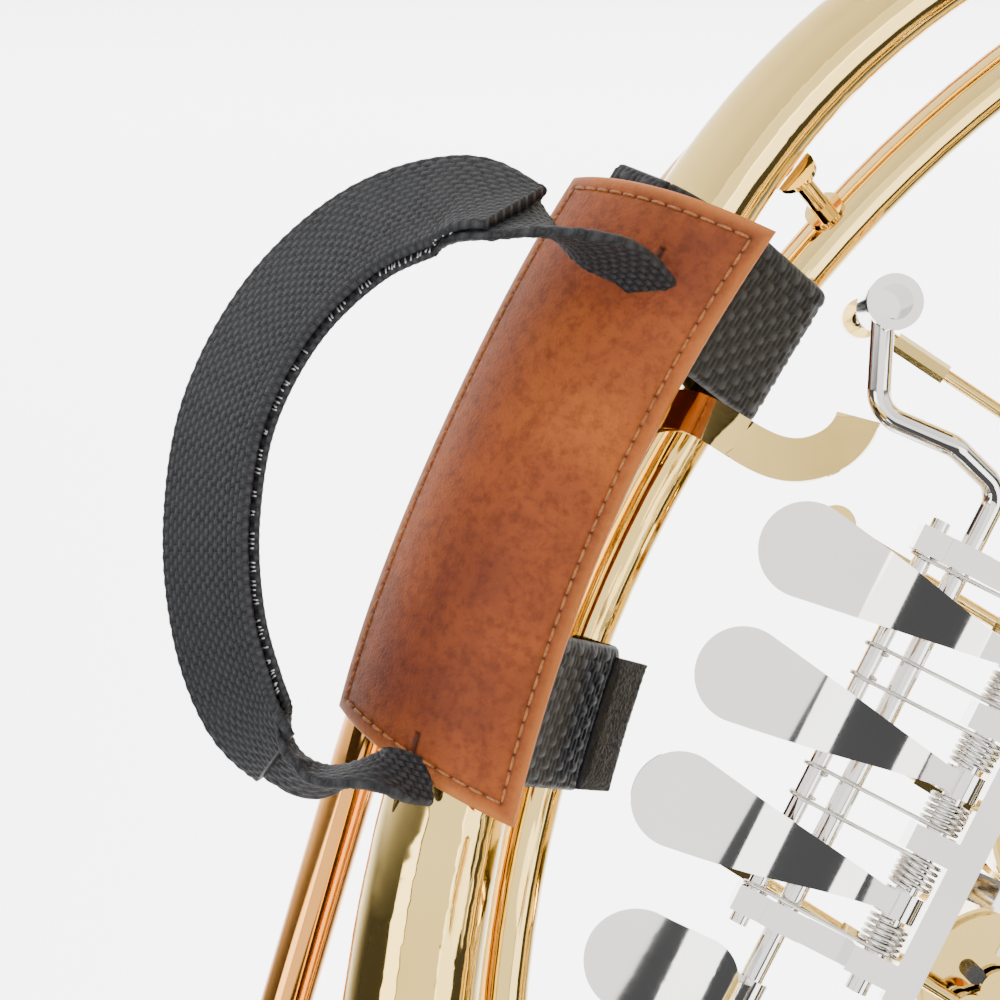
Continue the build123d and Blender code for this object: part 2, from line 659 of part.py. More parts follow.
def make_all():
    make_bell()
    make_branch_fittings()
    make_mouthpipe()
    make_inner_branch()
    make_main_slide()
    for number, place in VALVE_PLACES.items():
        make_valve(number, VALVE_PITCH * place)
    make_valve_tubes(sorted(VALVE_PITCH * place for place in VALVE_PLACES.values()))
    make_key_bridge()
    pin_offset = STOP_ARM_R / math.sqrt(2)
    for number in (1, 2, 3):
        place = VALVE_PLACES[number]
        make_valve_slides(number, VALVE_PITCH * place)
        make_finger_lever(number, place)
    for number, place in VALVE_PLACES.items():
        z = VALVE_PITCH * place
        ball = (EYE[0], BALL_Y, EYE[1]) if number == 4 else (BALL_X, BALL_Y, z)
        make_push_rod(number, ball, (VALVE_X + pin_offset, ROD_EYE_Y, z + pin_offset))
    make_thumb_lever()
    make_pinky_hook()
    make_braces()
    make_guard()
    make_wrap_straps()
    make_hand_strap()


make_all()
whole = Compound([solid for solids in nodes.values() for solid in solids]).bounding_box()
BASE_SHIFT = Vector(-(whole.min.X + whole.max.X) / 2, -(whole.min.Y + whole.max.Y) / 2, -whole.min.Z)
for node, solids in nodes.items():
    placed = [Location(BASE_SHIFT) * solid for solid in solids]
    export_step(placed[0] if len(placed) == 1 else Compound(placed), f"parts/{node}.step")
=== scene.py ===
import json
import math
import random

import bpy
import numpy as np
from mathutils import Matrix, Vector


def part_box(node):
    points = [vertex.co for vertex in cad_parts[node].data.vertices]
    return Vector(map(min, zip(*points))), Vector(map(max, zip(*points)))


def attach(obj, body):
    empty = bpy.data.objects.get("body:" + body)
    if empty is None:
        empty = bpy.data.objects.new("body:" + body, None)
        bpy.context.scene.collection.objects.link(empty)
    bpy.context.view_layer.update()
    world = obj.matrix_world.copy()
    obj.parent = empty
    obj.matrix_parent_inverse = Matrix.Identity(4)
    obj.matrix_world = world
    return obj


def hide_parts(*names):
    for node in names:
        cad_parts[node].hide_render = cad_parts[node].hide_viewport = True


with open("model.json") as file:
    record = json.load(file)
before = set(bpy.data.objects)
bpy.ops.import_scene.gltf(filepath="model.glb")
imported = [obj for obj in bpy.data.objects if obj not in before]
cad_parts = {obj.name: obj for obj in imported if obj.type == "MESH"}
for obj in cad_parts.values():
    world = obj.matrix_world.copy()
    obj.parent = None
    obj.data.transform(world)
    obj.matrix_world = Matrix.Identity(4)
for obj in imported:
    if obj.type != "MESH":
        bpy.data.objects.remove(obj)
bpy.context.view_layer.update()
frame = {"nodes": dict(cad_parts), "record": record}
random.seed(7)

# ---- the horn's own frame: millimetres from the bell axis ---------------------------------
MM = 0.001
rim_low, rim_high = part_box("bell_rim_wire")
BELL_X = (rim_low.x + rim_high.x) / 2
BELL_Y = (rim_low.y + rim_high.y) / 2


def place(x, y, z):
    return np.array([x * MM + BELL_X, y * MM + BELL_Y, z * MM])


KEY_TILT = math.radians(27.0)
KEY_ORIGIN = np.array([214.9, -28.0, 291.5])
KEY_X = np.array([math.cos(KEY_TILT), 0, -math.sin(KEY_TILT)])
KEY_Y = np.array([0.0, 1.0, 0.0])
KEY_Z = np.array([math.sin(KEY_TILT), 0, math.cos(KEY_TILT)])


def key_place(x, y, z):
    """A point of the lever work: x towards the paddles, y into the horn, z along the axle."""
    return place(*(KEY_ORIGIN + KEY_X * x + KEY_Y * y + KEY_Z * z))


GRIP_CENTRE = (-37.0, 380.0)
GRIP_R = 357.0
GRIP_TUBE_R = 14.42
GRIP_TAPER = 0.0222


def grip_frame(theta):
    """Centre of the outer branch at an angle down the grip, with outward, player's side and along."""
    t = math.radians(theta)
    centre = place(GRIP_CENTRE[0] + GRIP_R * math.cos(t), 0, GRIP_CENTRE[1] - GRIP_R * math.sin(t))
    outward = np.array([math.cos(t), 0, -math.sin(t)])
    along = np.array([-math.sin(t), 0, -math.cos(t)])
    return centre, outward, np.array([0.0, -1.0, 0.0]), along


def grip_tube_r(theta):
    return GRIP_TUBE_R - GRIP_TAPER * GRIP_R * math.radians(theta)


# ---- mesh helpers -------------------------------------------------------------------------
def new_piece(name, verts, faces, material, smooth=True):
    mesh = bpy.data.meshes.new(name)
    mesh.from_pydata([tuple(v) for v in verts], [], faces)
    mesh.update()
    piece = bpy.data.objects.new(name, mesh)
    bpy.context.scene.collection.objects.link(piece)
    mesh.materials.append(material)
    if smooth:
        mesh.shade_smooth()
    return piece


def fix_to_body(piece, stands_for=None):
    """Holds a piece to the horn's body, in place of the CAD node that it stands for."""
    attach(piece, "root")
    if stands_for:
        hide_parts(stands_for)


def paint(piece, name, values):
    """A grey vertex attribute that the material reads."""
    layer = piece.data.attributes.new(name, "FLOAT", "POINT")
    layer.data.foreach_set("value", np.asarray(values, dtype=np.float32))


def slab(front, back):
    """Closed solid from two matching grids of points, joined round their border."""
    rows, cols = front.shape[:2]
    verts = np.concatenate([front.reshape(-1, 3), back.reshape(-1, 3)])
    index = np.arange(rows * cols).reshape(rows, cols)
    far = index + rows * cols
    faces = []
    for r in range(rows - 1):
        for c in range(cols - 1):
            faces.append((index[r, c], index[r, c + 1], index[r + 1, c + 1], index[r + 1, c]))
            faces.append((far[r, c], far[r + 1, c], far[r + 1, c + 1], far[r, c + 1]))
    rim = [(r, 0) for r in range(rows)] + [(rows - 1, c) for c in range(1, cols)]
    rim += [(r, cols - 1) for r in range(rows - 2, -1, -1)] + [(0, c) for c in range(cols - 2, 0, -1)]
    for a, b in zip(rim, rim[1:] + rim[:1]):
        faces.append((index[a], index[b], far[b], far[a]))
    return verts, [tuple(int(i) for i in f) for f in faces]


def smooth_line(points, count):
    """Points evenly spread on a Catmull-Rom curve through the given ones."""
    pts = np.asarray(points, dtype=float)
    ext = np.vstack([2 * pts[0] - pts[1], pts, 2 * pts[-1] - pts[-2]])
    dense = []
    for i in range(1, len(ext) - 2):
        a, b, c, d = ext[i - 1], ext[i], ext[i + 1], ext[i + 2]
        for t in np.linspace(0, 1, 40, endpoint=False):
            dense.append(0.5 * (2 * b + (c - a) * t + (2 * a - 5 * b + 4 * c - d) * t * t
                                + (3 * b - a - 3 * c + d) * t ** 3))
    dense.append(ext[-2])
    dense = np.array(dense)
    return spread(dense, count)


def spread(points, count):
    """The same line, resampled at equal steps of length. Rows may hold more than x, y, z."""
    steps = np.linalg.norm(np.diff(points[:, :3], axis=0), axis=1)
    reach = np.concatenate([[0], np.cumsum(steps)])
    want = np.linspace(0, reach[-1], count)
    return np.stack([np.interp(want, reach, points[:, k]) for k in range(points.shape[1])], axis=1)


def line_length(points):
    return float(np.linalg.norm(np.diff(points[:, :3], axis=0), axis=1).sum())


def unit(v):
    return v / np.maximum(np.linalg.norm(v, axis=-1, keepdims=True), 1e-12)


def weave(u, v, yarn_u, yarn_v, over):
    """Height 0 to 1 of a plain weave; u runs across and v along, in the yarns' own units."""
    iu = np.floor(u / yarn_u)
    iv = np.floor(v / yarn_v)
    su = (u / yarn_u - iu - 0.5) * 2
    sv = (v / yarn_v - iv - 0.5) * 2
    warp_round = np.sqrt(np.clip(1 - 0.92 * su ** 2, 0, 1))
    weft_round = np.sqrt(np.clip(1 - 0.92 * sv ** 2, 0, 1))
    warp_up = 0.5 + 0.5 * np.cos(np.pi * (v / yarn_v / over) + np.pi * iu)
    weft_up = 0.5 - 0.5 * np.cos(np.pi * np.floor(v / yarn_v / over + 0.5) + np.pi * iu)
    return np.maximum(warp_round * (0.35 + 0.65 * warp_up), weft_round * (0.2 + 0.55 * weft_up))


def webbing(name, line, across, width, thickness, material, yarns, relief):
    """Woven strap: a line of centres, one width direction for each, and the weave as real relief."""
    count = len(line)
    along = unit(np.gradient(line, axis=0))
    across = unit(across - along * np.sum(across * along, axis=1, keepdims=True))
    normal = np.cross(along, across)
    cols = max(int(np.max(width) / (yarns[0] / 5.0)), 12)
    side = np.linspace(-0.5, 0.5, cols)
    steps = np.concatenate([[0], np.cumsum(np.linalg.norm(np.diff(line, axis=0), axis=1))])
    u = side[None, :] * np.asarray(width).reshape(-1, 1) * np.ones((count, 1))
    v = steps[:, None] * np.ones((1, cols))
    rim = np.clip((0.5 - np.abs(side)) / 0.04, 0, 1) ** 0.5
    height = weave(u + 0.4, v, yarns[0], yarns[1], yarns[2]) * relief
    lift = (thickness / 2) * (0.25 + 0.75 * rim)[None, :] + height * rim[None, :]
    base = line[:, None, :] + across[:, None, :] * u[..., None]
    front = base + normal[:, None, :] * lift[..., None]
    back = base - normal[:, None, :] * lift[..., None]
    verts, faces = slab(front, back)
    piece = new_piece(name, verts, faces, material)
    # the weave height is kept for the material's painted shade in the valleys and painted highlight on
    # the crowns
    paint(piece, "yarn", np.concatenate([(height / relief).ravel()] * 2))
    return piece


# ---- material helpers ---------------------------------------------------------------------
def shader(name):
    material = bpy.data.materials.new(name)
    material.use_nodes = True
    nodes = material.node_tree.nodes
    return material, nodes, material.node_tree.links, nodes["Principled BSDF"]


def noise(nodes, links, scale, detail=6.0, rough=0.6, stretch=None):
    """Noise in object space, optionally stretched along one direction."""
    where = nodes.new("ShaderNodeTexCoord")
    out = where.outputs["Object"]
    if stretch is not None:
        mapping = nodes.new("ShaderNodeMapping")
        mapping.inputs["Scale"].default_value = stretch
        links.new(out, mapping.inputs["Vector"])
        out = mapping.outputs["Vector"]
    tex = nodes.new("ShaderNodeTexNoise")
    tex.inputs["Scale"].default_value = scale
    tex.inputs["Detail"].default_value = detail
    tex.inputs["Roughness"].default_value = rough
    links.new(out, tex.inputs["Vector"])
    return tex.outputs["Fac"]


def ramp(nodes, links, source, stops):
    node = nodes.new("ShaderNodeValToRGB")
    while len(node.color_ramp.elements) < len(stops):
        node.color_ramp.elements.new(0.5)
    for element, (at, colour) in zip(node.color_ramp.elements, stops):
        element.position = at
        element.color = (*colour, 1)
    links.new(source, node.inputs["Fac"])
    return node.outputs["Color"]


def blend_colour(nodes, links, factor, a, b, mode="MIX"):
    node = nodes.new("ShaderNodeMix")
    node.data_type = "RGBA"
    node.blend_type = mode
    links.new(factor, node.inputs["Factor"])
    for value, socket in ((a, node.inputs["A"]), (b, node.inputs["B"])):
        if isinstance(value, tuple):
            socket.default_value = (*value, 1)
        else:
            links.new(value, socket)
    return node.outputs["Result"]


def attribute(nodes, name):
    node = nodes.new("ShaderNodeAttribute")
    node.attribute_name = name
    return node.outputs["Fac"]


def bump(nodes, links, source, bsdf, strength, distance):
    node = nodes.new("ShaderNodeBump")
    node.inputs["Strength"].default_value = strength
    node.inputs["Distance"].default_value = distance
    links.new(source, node.inputs["Height"])
    links.new(node.outputs["Normal"], bsdf.inputs["Normal"])


def metal(name, light, dark, roughness, spread_r, coat, scratch):
    """Polished metal: faint colour drift, smudges in the roughness and hairline scratches."""
    material, nodes, links, bsdf = shader(name)
    bsdf.inputs["Metallic"].default_value = 1.0
    drift = noise(nodes, links, 14.0, 3.0)
    links.new(ramp(nodes, links, drift, [(0.3, dark), (0.7, light)]), bsdf.inputs["Base Color"])
    smudge = noise(nodes, links, 60.0, 8.0, 0.7)
    rough = nodes.new("ShaderNodeMapRange")
    rough.inputs["To Min"].default_value = roughness
    rough.inputs["To Max"].default_value = roughness + spread_r
    links.new(smudge, rough.inputs["Value"])
    links.new(rough.outputs["Result"], bsdf.inputs["Roughness"])
    bsdf.inputs["Coat Weight"].default_value = coat
    bsdf.inputs["Coat Roughness"].default_value = 0.03
    hairs = noise(nodes, links, 900.0, 3.0, 0.5, (1.0, 1.0, 0.08))
    bump(nodes, links, hairs, bsdf, scratch, 0.00005)
    return material


def leather_material():
    material, nodes, links, bsdf = shader("leather_pull_up")
    cloud = noise(nodes, links, 26.0, 9.0, 0.58)
    body = ramp(nodes, links, cloud, [(0.32, (0.14, 0.026, 0.006)), (0.5, (0.25, 0.052, 0.009)),
                                      (0.66, (0.36, 0.086, 0.013))])
    fleck = noise(nodes, links, 420.0, 6.0, 0.7)
    dark = ramp(nodes, links, fleck, [(0.36, (0.55, 0.50, 0.46)), (0.55, (1, 1, 1))])
    full = nodes.new("ShaderNodeValue")
    full.outputs[0].default_value = 0.8
    body = blend_colour(nodes, links, full.outputs[0], body, dark, "MULTIPLY")
    body = blend_colour(nodes, links, attribute(nodes, "wear"), body, (0.52, 0.165, 0.036))
    # painted shade: the stitch holes and strap slits are darkened to near black, standing in for the
    # shade inside them
    body = blend_colour(nodes, links, attribute(nodes, "hole"), body, (0.045, 0.014, 0.006))
    links.new(body, bsdf.inputs["Base Color"])
    rough = nodes.new("ShaderNodeMapRange")
    rough.inputs["To Min"].default_value = 0.42
    rough.inputs["To Max"].default_value = 0.68
    links.new(cloud, rough.inputs["Value"])
    links.new(rough.outputs["Result"], bsdf.inputs["Roughness"])
    bsdf.inputs["Specular IOR Level"].default_value = 0.22
    grain = nodes.new("ShaderNodeTexVoronoi")
    grain.inputs["Scale"].default_value = 1500.0
    where = nodes.new("ShaderNodeTexCoord")
    links.new(where.outputs["Object"], grain.inputs["Vector"])
    fine = noise(nodes, links, 700.0, 8.0, 0.7)
    both = nodes.new("ShaderNodeMath")
    both.operation = "MULTIPLY_ADD"
    both.inputs[1].default_value = 0.5
    links.new(grain.outputs["Distance"], both.inputs[0])
    links.new(fine, both.inputs[2])
    bump(nodes, links, both.outputs[0], bsdf, 0.55, 0.00035)
    return material


def webbing_material(name, valley_shade, crown_highlight):
    material, nodes, links, bsdf = shader(name)
    # painted light: the weave height blends the colour from painted shade (near black) in the valleys
    # between yarns to a painted highlight on the yarn crowns
    highlight_weight = nodes.new("ShaderNodeMath")
    highlight_weight.operation = "POWER"
    highlight_weight.inputs[1].default_value = 1.9
    links.new(attribute(nodes, "yarn"), highlight_weight.inputs[0])
    body = blend_colour(nodes, links, highlight_weight.outputs[0], valley_shade, crown_highlight)
    fibre = noise(nodes, links, 2600.0, 4.0, 0.7)
    tint = ramp(nodes, links, fibre, [(0.3, (0.55, 0.55, 0.55)), (0.7, (1.35, 1.35, 1.38))])
    full = nodes.new("ShaderNodeValue")
    full.outputs[0].default_value = 0.9
    body = blend_colour(nodes, links, full.outputs[0], body, tint, "MULTIPLY")
    links.new(body, bsdf.inputs["Base Color"])
    bsdf.inputs["Roughness"].default_value = 0.55
    bsdf.inputs["Specular IOR Level"].default_value = 0.22
    bump(nodes, links, fibre, bsdf, 0.5, 0.0002)
    return material


def thread_material(name, colour, shade):
    material, nodes, links, bsdf = shader(name)
    twist = noise(nodes, links, 1800.0, 3.0, 0.6)
    links.new(ramp(nodes, links, twist, [(0.3, shade), (0.7, colour)]), bsdf.inputs["Base Color"])
    bsdf.inputs["Roughness"].default_value = 0.6
    bump(nodes, links, twist, bsdf, 0.5, 0.0002)
    return material


BRASS = metal("brass_lacquered", (0.84, 0.60, 0.19), (0.72, 0.49, 0.13), 0.035, 0.05, 0.4, 0.03)
GOLD_BRASS = metal("brass_gold", (0.80, 0.36, 0.07), (0.68, 0.27, 0.05), 0.05, 0.06, 0.4, 0.03)
NICKEL = metal("nickel_polished", (0.83, 0.81, 0.78), (0.76, 0.73, 0.69), 0.04, 0.06, 0.0, 0.03)
STEEL = metal("spring_wire", (0.78, 0.75, 0.70), (0.62, 0.59, 0.55), 0.16, 0.10, 0.0, 0.10)
RUBBER = thread_material("bumper_rubber", (0.035, 0.035, 0.037), (0.015, 0.015, 0.016))
LEATHER = leather_material()
# the two colours of each webbing are the painted shade of its weave valleys and the painted highlight
# of its crowns
WEBBING = webbing_material("webbing_fine", (0.002, 0.002, 0.002), (0.040, 0.041, 0.044))
WEBBING_COARSE = webbing_material("webbing_coarse", (0.002, 0.002, 0.002), (0.030, 0.030, 0.032))
HOOK_PILE = webbing_material("hook_pile", (0.003, 0.003, 0.004), (0.018, 0.018, 0.020))
TAN_THREAD = thread_material("tan_thread", (0.44, 0.17, 0.045), (0.20, 0.065, 0.016))
PALE_THREAD = thread_material("pale_thread", (0.62, 0.62, 0.64), (0.35, 0.35, 0.37))

SLOT_LOOK = {
    "lacquered_brass": BRASS,
    "gold_brass": GOLD_BRASS,
    "nickel": NICKEL,
    "spring_steel": STEEL,
    "bumper_rubber": RUBBER,
    "leather": LEATHER,
    "webbing": WEBBING,
    "hook_fabric": HOOK_PILE,
}


def dress_cad_nodes():
    slots = {part["node"]: part["material_slot"] for part in frame["record"]["subparts"]}
    for name, node in frame["nodes"].items():
        look = SLOT_LOOK[slots[name]]
        if not node.data.materials:
            node.data.materials.append(look)
        for k in range(len(node.material_slots)):
            node.material_slots[k].material = look


# ---- leather guard ------------------------------------------------------------------------
GUARD_START = 14.25
GUARD_END = 34.15
GUARD_CENTRE = -10.55
GUARD_FACING = math.radians(55.0)
GUARD_R = 27.1
GUARD_HALF_ARC = math.radians(50.0)
GUARD_THICK = 2.0
GUARD_W = 2 * GUARD_HALF_ARC * GUARD_R
GUARD_MEAN_R = GRIP_R + 12
GUARD_L = math.radians(GUARD_END - GUARD_START) * GUARD_MEAN_R
GUARD_FLARE = 3.4
STITCH_INSET = 3.4
STITCH_PITCH = 3.3
HOLE_R = 0.42
WORN_EDGE = 1.6
# slits for the hand strap: place across, place along, half length in mm
GUARD_SLITS = [(0.66, 0.87, 5.0), (0.53, 0.035, 3.5)]


def guard_point(a, b, lift):
    """Point of the guard: a from -1 to 1 across, b from 0 to 1 down its length, lift in mm."""
    lean = -0.95 * a * (1 - b) + (0.75 * a - 0.97) * b
    theta = GUARD_START + (GUARD_END - GUARD_START) * b + lean
    centre, outward, facing, _ = grip_frame(theta)
    settle = 0.9 * math.sin(math.pi * b) - 2.1 * b
    ripple = 0.35 * math.sin(7.0 * b + 1.0) * a * a
    flare = GUARD_FLARE * max(0.0, -a) ** 2
    r = GUARD_R + lift + ripple + flare
    phi = GUARD_FACING + a * GUARD_HALF_ARC
    ox = GUARD_CENTRE * math.cos(GUARD_FACING) + r * math.cos(phi)
    oy = GUARD_CENTRE * math.sin(GUARD_FACING) + r * math.sin(phi)
    ox += settle * 0.35 * math.cos(GUARD_FACING)
    oy += settle * 0.35 * math.sin(GUARD_FACING)
    return centre + (outward * ox + facing * oy) * MM


def stitch_line():
    """Centre points of the holes, round the guard, in mm from its corner."""
    w, l, i = GUARD_W, GUARD_L, STITCH_INSET
    corners = [(i, i), (w - i, i), (w - i, l - i), (i, l - i), (i, i)]
    holes = []
    for (x0, y0), (x1, y1) in zip(corners, corners[1:]):
        count = round(math.hypot(x1 - x0, y1 - y0) / STITCH_PITCH)
        for k in range(count):
            holes.append((x0 + (x1 - x0) * k / count, y0 + (y1 - y0) * k / count))
    return holes


def make_guard():
    rows, cols = 300, 116
    holes = np.array(stitch_line())
    front = np.zeros((rows, cols, 3))
    back = np.zeros((rows, cols, 3))
    hole_shade_mask = np.zeros((rows, cols))
    wear_mask = np.zeros((rows, cols))
    for r in range(rows):
        b = r / (rows - 1)
        y = b * GUARD_L
        for c in range(cols):
            a = -1 + 2 * c / (cols - 1)
            x = (a + 1) / 2 * GUARD_W
            edge = min(x, GUARD_W - x, y, GUARD_L - y)
            away = np.min(np.hypot(holes[:, 0] - x, holes[:, 1] - y))
            pit = math.exp(-(away / HOLE_R) ** 2)
            groove = 0.16 * math.exp(-((edge - STITCH_INSET) / 0.75) ** 2)
            slit = 0.0
            for sa, sb, reach in GUARD_SLITS:
                dx = x - sa * GUARD_W
                dy = y - sb * GUARD_L
                slit = max(slit, math.exp(-(dx / 0.55) ** 2) * (1 if abs(dy) < reach else 0))
            round_off = max(0, 1 - edge / 0.9) ** 2
            lift = GUARD_THICK / 2 - 0.55 * pit - groove - 0.7 * round_off - 0.8 * slit
            front[r, c] = guard_point(a, b, lift)
            back[r, c] = guard_point(a, b, -GUARD_THICK / 2 + 0.5 * round_off)
            # painted shade: marks the stitch holes and strap slits that the leather material darkens
            # to near black
            hole_shade_mask[r, c] = max(pit * 0.95, slit)
            wear_mask[r, c] = 0.75 * math.exp(-(edge / WORN_EDGE) ** 2)
            wear_mask[r, c] += 0.12 * math.exp(-(edge / 6.0) ** 2)
    verts, faces = slab(front, back)
    guard = new_piece("guard_leather", verts, faces, LEATHER)
    paint(guard, "hole", np.concatenate([hole_shade_mask.ravel(), 0 * hole_shade_mask.ravel()]))
    paint(guard, "wear", np.concatenate([wear_mask.ravel(), wear_mask.ravel()]))
    fix_to_body(guard, "leather_guard")


def guard_at(x, y, lift):
    return guard_point(-1 + 2 * x / GUARD_W, y / GUARD_L, lift)


def tube_mesh(points, radius, sides, verts, faces):
    """Adds a round tube along a few points to growing lists."""
    pts = np.asarray(points)
    along = unit(np.gradient(pts, axis=0))
    guide = np.array([0.31, 0.83, 0.46])
    first = unit(np.cross(along, guide))
    second = np.cross(along, first)
    start = len(verts)
    for k in range(len(pts)):
        r = radius[k] if hasattr(radius, "__len__") else radius
        for s in range(sides):
            angle = 2 * math.pi * s / sides
            verts.append(pts[k] + (first[k] * math.cos(angle) + second[k] * math.sin(angle)) * r)
    for k in range(len(pts) - 1):
        for s in range(sides):
            n = (s + 1) % sides
            faces.append((start + k * sides + s, start + k * sides + n,
                          start + (k + 1) * sides + n, start + (k + 1) * sides + s))
    faces.append(tuple(start + s for s in reversed(range(sides))))
    faces.append(tuple(start + (len(pts) - 1) * sides + s for s in range(sides)))


def make_stitches():
    holes = stitch_line()
    verts, faces = [], []
    for (x0, y0), (x1, y1) in zip(holes, holes[1:] + holes[:1]):
        if math.hypot(x1 - x0, y1 - y0) > 1.6 * STITCH_PITCH:
            continue
        points, radii = [], []
        for k in range(9):
            t = 0.10 + 0.80 * k / 8
            arch = math.sin(math.pi * k / 8)
            points.append(guard_at(x0 + (x1 - x0) * t, y0 + (y1 - y0) * t, 0.62 + 0.50 * arch ** 0.6))
            radii.append((0.16 + 0.15 * arch ** 0.5) * MM)
        tube_mesh(points, radii, 8, verts, faces)
    thread = new_piece("guard_stitching", verts, faces, TAN_THREAD)
    fix_to_body(thread)


# ---- webbing ------------------------------------------------------------------------------
INNER_CENTRE = (38.0, 361.6)
INNER_R = 263.0
WRAPS = {"upper": 31.2, "lower": 17.0}
WRAP_WIDTH = 30.0
WRAP_T = 1.0
WRAP_CLEAR = 1.4
INNER_TUBE_R = 5.5
# the guard's two edges in the plane across the grip, with the strap's clearance: x, y, r
GUARD_EDGES = [(-10.5, 11.0, 1.7), (16.0, -4.5, 1.7)]


def wrap_outline(theta):
    """Convex line round the tube, the inner branch and the guard's two edges, at mid thickness."""
    half = math.degrees(WRAP_WIDTH / 2 / GRIP_R)
    r = grip_tube_r(theta - half)
    circles = [(0, 0, r + WRAP_CLEAR)] + GUARD_EDGES
    for side in (-1, 1):
        t = math.radians(theta + side * half)
        x = GRIP_CENTRE[0] + GRIP_R * math.cos(t)
        z = GRIP_CENTRE[1] - GRIP_R * math.sin(t)
        gap = math.hypot(INNER_CENTRE[0] - x, INNER_CENTRE[1] - z) - INNER_R
        circles.append((-gap, -15, INNER_TUBE_R + WRAP_CLEAR))
    outline = []
    for k in range(721):
        angle = 2 * math.pi * k / 720 + 0.9
        n = np.array([math.cos(angle), math.sin(angle)])
        best = max(circles, key=lambda c: c[0] * n[0] + c[1] * n[1] + c[2])
        outline.append([best[0] + best[2] * n[0], best[1] + best[2] * n[1], 0.0])
    return np.array(outline)


def make_wraps():
    for name, theta in WRAPS.items():
        outline = wrap_outline(theta)
        length = line_length(outline)
        outline = spread(outline, int(length / 0.42))
        centre, outward, facing, along = grip_frame(theta)
        line = centre + (outline[:, :1] * outward + outline[:, 1:2] * facing) * MM
        across = np.tile(along, (len(line), 1))
        width = np.full(len(line), WRAP_WIDTH * MM)
        strap = webbing(f"wrap_webbing_{name}", line[:-2], across[:-2], width[:-2], WRAP_T * MM,
                        WEBBING_COARSE, (2.3 * MM, 1.7 * MM, 2.0), 0.85 * MM)
        fix_to_body(strap, f"wrap_strap_{name}")


STRAP_WIDTH = 27.0
STRAP_T = 1.3
# centre of the hand strap's inner layer: x, y, z in mm, width share, lean of the width
STRAP_STATIONS = [
    (270.5, -16.8, 199.5, 0.34, -0.9),
    (276.0, -22.0, 195.0, 0.42, -0.7),
    (285.0, -25.5, 191.5, 0.62, -0.2),
    (297.0, -24.0, 187.0, 0.88, 0.45),
    (309.0, -17.0, 184.2, 1.0, 0.8),
    (325.0, -12.0, 189.0, 1.0, 0.9),
    (340.4, -9.0, 202.5, 1.0, 0.9),
    (351.0, -8.0, 221.7, 1.0, 0.9),
    (354.6, -8.0, 242.8, 1.0, 0.9),
    (353.4, -8.0, 262.0, 1.0, 0.9),
    (348.5, -8.5, 277.4, 1.0, 0.85),
    (341.0, -11.0, 287.0, 0.95, 0.6),
    (333.0, -17.0, 290.0, 0.75, 0.1),
    (323.0, -23.0, 289.5, 0.55, -0.4),
    (313.5, -17.5, 292.5, 0.36, -0.9),
]
STRAP_MIDDLE = (300.0, -10.0, 238.0)
OUTER_GAP = 2.6
OUTER_STATIONS = STRAP_STATIONS[3:-3]


def strap_rows(stations, offset):
    rows = smooth_line(np.array(stations), int(len(stations) * 45))
    line = np.array([place(*row[:3]) for row in rows])
    away = line - place(*STRAP_MIDDLE)
    away[:, 1] = 0
    away = unit(away)
    across = unit(KEY_Y[None, :] + away * rows[:, 4:5])
    along = unit(np.gradient(line, axis=0))
    across = unit(across - along * np.sum(across * along, axis=1, keepdims=True))
    normal = np.cross(along, across)
    turn = np.sign(np.sum(normal * away, axis=1, keepdims=True))
    line = line + normal * turn * offset * MM
    return line, across, rows[:, 3] * STRAP_WIDTH * MM


def make_hand_strap():
    layers = (("inner", 0.0, STRAP_STATIONS), ("outer", OUTER_GAP, OUTER_STATIONS))
    for name, offset, stations in layers:
        line, across, width = strap_rows(stations, offset)
        length = line_length(line)
        line4 = spread(np.hstack([line, across, width[:, None]]), int(length / (0.30 * MM)))
        strap = webbing(f"hand_webbing_{name}", line4[:, :3], line4[:, 3:6], line4[:, 6], STRAP_T * MM,
                        WEBBING, (1.45 * MM, 1.15 * MM, 1.0), 0.62 * MM)
        fix_to_body(strap, f"hand_strap_{name}")


def make_strap_loops():
    """Pale hook ends that show as dots in the gap between the two layers."""
    line, across, width = strap_rows(OUTER_STATIONS, OUTER_GAP / 2)
    verts, faces = [], []
    rows = spread(np.hstack([line, across, width[:, None]]), 150)
    for row in rows[4:-4]:
        if random.random() < 0.35:
            continue
        edge = row[:3] - row[3:6] * row[6] * 0.5
        jitter = np.array([random.uniform(-0.25, 0.25) for _ in range(3)]) * MM
        tip = edge + jitter - row[3:6] * 0.35 * MM
        tube_mesh([edge + row[3:6] * 1.2 * MM, edge + jitter, tip], 0.16 * MM, 5, verts, faces)
    loops = new_piece("hand_strap_hooks", verts, faces, PALE_THREAD)
    fix_to_body(loops)


TAB_HALF_L = 14.5
TAB_HALF_W = 7.2
TAB_X, TAB_Y = -27.4, -9.0
TAB_TURN = math.radians(62)
TAB_PILE = 0.26


